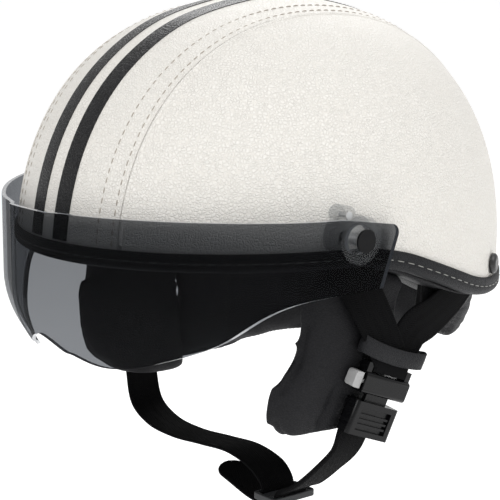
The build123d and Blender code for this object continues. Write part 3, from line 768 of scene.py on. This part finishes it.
x, y, z = SLIDER_AT
chin_left = [
    buckle_point(-2.5, -19.0, -3.6), buckle_point(-2.5, -25.0, -3.0),
    (82.6, -17.3, -81.0), (73.5, -20.0, -91.5), (61.0, -21.5, -102.5),
    (x + 8.0, y, z + 5.0), (x + 4.6, y, z + 2.2), (x + 4.2, y, z - 1.2),
]
chin_out = [(1, -0.04, -0.11)] * 2 + [(0.9, 0, -0.4), (0.75, 0, -0.65), (0.65, 0, -0.76), (0.65, 0, -0.76),
                                      (0.9, 0, -0.3), (1, 0, 0)]
DOUBLED_WIDTH = 18.6
DOUBLED_THICKNESS = 2.4
ribbon("chin_web_left", chin_left, chin_out, DOUBLED_WIDTH, DOUBLED_THICKNESS, "buckle_tongue",
       ("chin_strap_left",))
tail = [
    (x - 1.0, y - 2, z - 3.6), (x - 12, y - 2.6, z - 2.2), (x - 26, y - 3, z + 1.6),
    (x - 40, y - 3.5, z + 5.6),
]
ribbon("strap_tail_end", tail, [(0, 0, 1)] * 4, WEB_WIDTH, WEB_THICKNESS, "buckle_tongue", ("strap_tail",),
       round_end=True)

top = [buckle_point(0, 18.0, -2.0), buckle_point(0, 9.5, -1.6), buckle_point(0, -2.0, -1.0)]
chin_right = flipped(top, -1) + [
    np.array(p, float)
    for p in (
        (-90.0, -8.5, -70.0), (-88.5, -9.0, -84.0), (-82.5, -10.0, -97.5), (-68.0, -10.5, -104.5),
        (-46.0, -11.0, -106.0), (-20.0, -12.0, -103.5), (5.0, -14.0, -101.0), (26.0, -17.5, -102.5),
        (36.0, -20.3, -105.5), (x - 4.8, y, z + 2.6), (x - 4.2, y, z - 1.2),
    )
]
right_out = [(-1, 0, 0)] * 5 + [(-0.8, 0, -0.6), (-0.3, 0, -1)] + [(0, 0, -1)] * 4
right_out += [(-0.5, 0, -0.9), (-0.9, 0, -0.3), (-1, 0, 0)]
chin_web = ribbon("chin_web_right", chin_right, right_out, WEB_WIDTH, WEB_THICKNESS, None,
                  ("chin_strap_right",))
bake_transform(chin_web)

# ------------------------------------------------------------------ soft pads


def copied(node, name):
    """The CAD solid's mesh with its split corners joined, as a new object."""
    bm = bmesh.new()
    bm.from_mesh(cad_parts[node].data)
    bmesh.ops.remove_doubles(bm, verts=bm.verts, dist=1e-6)
    mesh = bpy.data.meshes.new(name)
    bm.to_mesh(mesh)
    bm.free()
    made = bpy.data.objects.new(name, mesh)
    bpy.context.scene.collection.objects.link(made)
    return made


def settle(obj, kind, **props):
    """Add a modifier, take the mesh that it makes, and drop it."""
    mod = obj.modifiers.new(kind, kind)
    for key, value in props.items():
        setattr(mod, key, value)
    depsgraph = bpy.context.evaluated_depsgraph_get()
    mesh = bpy.data.meshes.new_from_object(obj.evaluated_get(depsgraph))
    obj.modifiers.remove(mod)
    obj.data = mesh


def coords(mesh):
    flat = np.zeros(len(mesh.vertices) * 3)
    mesh.vertices.foreach_get("co", flat)
    return flat.reshape(-1, 3)


def set_coords(mesh, points):
    mesh.vertices.foreach_set("co", np.asarray(points, np.float32).ravel())
    mesh.update()


CLOTH_FRAMES = 20


def inflate(obj, cap_mm, pressure=4.0):
    """Blow the closed skin up as cloth, and stop each point after cap_mm."""
    rest = coords(obj.data)
    mod = obj.modifiers.new("Cloth", "CLOTH")
    mod.settings.quality = 5
    mod.settings.mass = 0.3
    mod.settings.use_pressure = True
    mod.settings.uniform_pressure_force = pressure
    mod.settings.effector_weights.gravity = 0.0
    mod.settings.tension_stiffness = 15
    mod.settings.bending_stiffness = 0.4
    mod.point_cache.frame_start = 1
    mod.point_cache.frame_end = CLOTH_FRAMES
    scene = bpy.context.scene
    for number in range(1, CLOTH_FRAMES + 1):
        scene.frame_set(number)
    depsgraph = bpy.context.evaluated_depsgraph_get()
    puffed = coords(obj.evaluated_get(depsgraph).to_mesh())
    obj.evaluated_get(depsgraph).to_mesh_clear()
    obj.modifiers.remove(mod)
    scene.frame_set(1)
    move = puffed - rest
    size = np.linalg.norm(move, axis=1, keepdims=True)
    move = move * np.minimum(1.0, cap_mm * M / np.maximum(size, 1e-9))
    set_coords(obj.data, rest + move)


def vertex_normals(mesh):
    flat = np.zeros(len(mesh.vertices) * 3, np.float32)
    mesh.vertex_normals.foreach_get("vector", flat)
    return flat.reshape(-1, 3).astype(float)


def wrinkle(obj, amounts, seed):
    """Move the skin in and out by soft noise; amounts is a list of (size in mm, height in mm)."""
    points = coords(obj.data)
    normals = vertex_normals(obj.data)
    move = np.zeros(len(points))
    for size, height in amounts:
        for i, p in enumerate(points):
            spot = Vector(p) / (size * M) + Vector((seed, seed * 1.7, seed * 0.3))
            move[i] += noise.noise(spot) * height
    set_coords(obj.data, points + normals * (move[:, None] * M))


def pulled_in(points, normals, distance, width, depth):
    """Press the skin in along a line; distance is each point's distance from it in millimetres."""
    share = np.clip(1 - np.abs(distance) / width, 0, 1)
    dip = share * share * (3 - 2 * share) * depth * M
    return points - normals * dip[:, None]


PAD_OUTER_X = 94.5
PAD_LEAN = 0.15
PAD_THICKNESS = 11.0


def ear_seams(points, normals):
    """Sewn seam round an ear pad's edge, and two soft folds beside the buckle."""
    p = points / M
    across = np.abs(p[:, 0]) - (PAD_OUTER_X + PAD_LEAN * p[:, 2] - PAD_THICKNESS / 2)
    rim = np.abs(normals[:, 0]) < 0.75
    points = pulled_in(points, normals, np.where(rim, across, 99.0), 1.7, 1.3)
    outer = normals[:, 0] * np.sign(p[:, 0]) > 0.2
    for y, lean, low, high, depth in ((-31.0, 0.25, -70.0, -44.0, 1.6), (-40.0, -0.35, -66.0, -50.0, 1.0)):
        off = p[:, 1] - y - (p[:, 2] + 55.0) * lean
        near = outer & (p[:, 2] > low) & (p[:, 2] < high)
        fade = np.clip((high - p[:, 2]) * (p[:, 2] - low) / 120.0, 0, 1)
        points = pulled_in(points, normals * fade[:, None], np.where(near, off, 99.0), 4.5, depth)
    return points


def curtain_seams(points, normals):
    """Sewn seam along the curtain's edge, and shallow upright folds."""
    p = points / M
    plan = np.sqrt((p[:, 0] / HALF_WIDTH) ** 2 + ((p[:, 1] - CENTRE_Y) / HALF_LENGTH) ** 2)
    depth_in = (1 - plan) * HALF_WIDTH - 15.7
    out = dome_normal(p * np.array((1, 1, 0)))
    rim = np.abs(np.sum(normals * out, axis=1)) < 0.75
    points = pulled_in(points, normals, np.where(rim, depth_in, 99.0), 1.7, 1.3)
    turn = np.degrees(np.arctan2(p[:, 0], p[:, 1]))
    for angle in (-62, -37, -14, 9, 31, 55):
        points = pulled_in(points, normals, np.where(~rim, (turn - angle) * 1.9, 99.0), 5.0, 0.9)
    return points


PAD_CELL_M = 0.0032


def soft_pad(node, name, inset, cap, keep_clear, wrinkles, seed, seams):
    """Puffed pad in the place of a plain CAD solid."""
    pad = copied(node, name)
    settle(pad, "REMESH", mode="VOXEL", voxel_size=PAD_CELL_M)
    settle(pad, "SMOOTH", factor=0.5, iterations=10)
    shrunk = coords(pad.data) - vertex_normals(pad.data) * inset * M
    set_coords(pad.data, shrunk)
    inflate(pad, cap)
    settle(pad, "SMOOTH", factor=0.5, iterations=5)
    settle(pad, "SUBSURF", levels=1, render_levels=1)
    set_coords(pad.data, seams(coords(pad.data), vertex_normals(pad.data)))
    wrinkle(pad, wrinkles, seed)
    set_coords(pad.data, tucked_up(keep_clear(coords(pad.data) / M)) * M)
    pad.data.materials.clear()
    pad.data.materials.append(SOFT)
    pad.data.polygons.foreach_set("use_smooth", [True] * len(pad.data.polygons))
    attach(pad, "helmet")
    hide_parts(node)
    return pad


BAND_DROP = 10.3
TUCK = 3.4
TUCK_REACH = 14.0


def tucked_up(p):
    """Lift a pad's top edge so that it meets the underside of the brow band."""
    gap = rim_z(p[:, 1]) - BAND_DROP - p[:, 2]
    lift = np.clip(1 - gap / TUCK_REACH, 0, 1) * TUCK
    return np.stack([p[:, 0], p[:, 1], p[:, 2] + lift], axis=1)


def clear_of_straps(p):
    """Keep a pad inside the strap legs and the buckle, and under the trim."""
    side = np.sign(np.median(p[:, 0]))
    outer = PAD_OUTER_X + PAD_LEAN * p[:, 2]
    near_buckle = np.clip(1.6 - np.hypot((p[:, 1] + 8) / 26, (p[:, 2] + 50) / 34), 0, 1)
    near_legs = np.clip((p[:, 2] + 34) / 16, 0, 1)
    allow = 3.2 - 2.0 * np.maximum(near_buckle, near_legs)
    reach = outer + allow
    x = side * p[:, 0]
    over = np.maximum(x - reach, 0)
    x = x - over * 0.92
    return np.stack([side * x, p[:, 1], p[:, 2]], axis=1)


def clear_of_dome(p):
    """Keep the nape pad inside the rear strap legs."""
    plan = np.sqrt((p[:, 0] / HALF_WIDTH) ** 2 + ((p[:, 1] - CENTRE_Y) / HALF_LENGTH) ** 2)
    most = 1 - 9.9 / HALF_WIDTH
    pull = np.where(plan > most, most / plan, 1.0)
    return np.stack([p[:, 0] * pull, CENTRE_Y + (p[:, 1] - CENTRE_Y) * pull, p[:, 2]], axis=1)


pad_folds = [(30.0, 1.0), (12.0, 0.5), (5.0, 0.15)]
soft_pad("ear_pad_left", "ear_cushion_left", 0.6, 4.2, clear_of_straps, pad_folds, 3.1, ear_seams)
soft_pad("ear_pad_right", "ear_cushion_right", -0.4, 4.0, clear_of_straps, pad_folds, 7.7, ear_seams)
soft_pad("nape_curtain", "nape_cushion", 0.1, 3.2, clear_of_dome, pad_folds, 5.3, curtain_seams)

# ------------------------------------------------------------------ keeper loops


def keeper(side, label):
    """Folded leather loop round the strap legs, stitched along both edges."""
    count = 72
    angle = np.linspace(0, 2 * np.pi, count, endpoint=False)
    power = 3.2
    blunt = (np.abs(np.cos(angle)) ** power + np.abs(np.sin(angle)) ** power) ** (-1 / power)
    path, out = [], []
    for a, b in zip(angle, blunt):
        rise = 13.7 + 2.0 * math.cos(a) ** 2
        path.append(buckle_point(-0.5 + 19.9 * b * math.cos(a), rise, 3.75 * b * math.sin(a)))
    path = np.array(path)
    tangent = unit(np.roll(path, -1, axis=0) - np.roll(path, 1, axis=0))
    up = unit(buckle_point(0, 1, 0) - buckle_point(0, 0, 0))
    out = unit(np.cross(tangent, up))
    loop = [(-3.9, 0.0), (-3.8, 0.5), (-3.2, 0.62), (-2.6, 0.45), (0.0, 0.55), (2.6, 0.45), (3.2, 0.62),
            (3.8, 0.5), (3.9, 0.0), (3.7, -0.5), (0.0, -0.6), (-3.7, -0.5)]
    rings = np.stack([path + up * a + out * b for a, b in loop], axis=1)
    flip = np.array((side, 1, 1))
    piece(f"keeper_loop_{label}", *skin(rings * flip, True), BLACK, "helmet", "black_leather",
          (f"ear_strap_loop_{label}",))
    for row, height in (("upper", 2.6), ("lower", -2.6)):
        line = np.vstack([path, path[:1]]) + up * height
        line = line + np.vstack([out, out[:1]]) * 0.5
        stitches(f"keeper_{row}_{label}", line * flip, np.vstack([out, out[:1]]) * flip, 3.6, 2.6, 0.2,
                 DARK_THREAD, "helmet", "black_leather", 0.1)


for side, label in ((1, "left"), (-1, "right")):
    keeper(side, label)
dress(("buckle_strap",), WEB)

# ------------------------------------------------------------------ stage, light, camera

FLOOR = 40000.0
FLOOR_Z = -420.0
floor_points = [(x * FLOOR, y * FLOOR, FLOOR_Z) for x, y in ((-1, -1), (1, -1), (1, 1), (-1, 1))]
floor_mesh = bpy.data.meshes.new("floor")
floor_mesh.from_pydata([tuple(c * M for c in p) for p in floor_points], [], [(0, 1, 2, 3)])
floor = bpy.data.objects.new("floor", floor_mesh)
bpy.context.scene.collection.objects.link(floor)
paper = Shader("backdrop_paper")
floor_mesh.materials.append(
    paper.finish(
        paper.principled(
            Base_Color=(0.9, 0.9, 0.9), Roughness=0.9, Emission_Color=(1.0, 1.0, 1.0), Emission_Strength=0.45
        )
    )
)


def area_light(name, place, aim, size, power):
    lamp = bpy.data.lights.new(name, "AREA")
    lamp.shape = "RECTANGLE"
    lamp.size, lamp.size_y = size
    lamp.energy = power
    made = bpy.data.objects.new(name, lamp)
    bpy.context.scene.collection.objects.link(made)
    made.location = place
    made.rotation_mode = "QUATERNION"
    made.rotation_quaternion = (Vector(aim) - Vector(place)).to_track_quat("-Z", "Y")


area_light("key", (0.9, 0.25, 1.25), (0, 0, 0), (1.1, 1.1), 13.0)
area_light("front", (0.15, -1.5, 0.75), (0, 0, 0.02), (1.0, 0.7), 8.0)
area_light("back", (-0.9, 0.9, 0.9), (0, 0, 0), (1.0, 1.0), 8.0)

world = bpy.data.worlds.new("studio")
world.use_nodes = True
world.node_tree.nodes["Background"].inputs["Color"].default_value = (1.0, 1.0, 1.0, 1.0)
world.node_tree.nodes["Background"].inputs["Strength"].default_value = 0.62
bpy.context.scene.world = world
bpy.context.scene.view_settings.view_transform = "Standard"

CAMERA_AT = (601.733, -497.050, 150.701)
CAMERA_RIGHT = Vector((0.63104, 0.77573, 0.00535))
CAMERA_DOWN = Vector((0.15374, -0.11830, -0.98101))
lens = bpy.data.cameras.new("camera")
lens.lens = 116.72
lens.sensor_width = 36.0
lens.clip_start = 0.05
camera = bpy.data.objects.new("camera", lens)
bpy.context.scene.collection.objects.link(camera)
right = CAMERA_RIGHT.normalized()
up = (-CAMERA_DOWN).normalized()
back = right.cross(up).normalized()
up = back.cross(right)
turn = Matrix((right, up, back)).transposed().to_4x4()
camera.matrix_world = Matrix.Translation(Vector(CAMERA_AT) * M) @ turn
bpy.context.scene.camera = camera
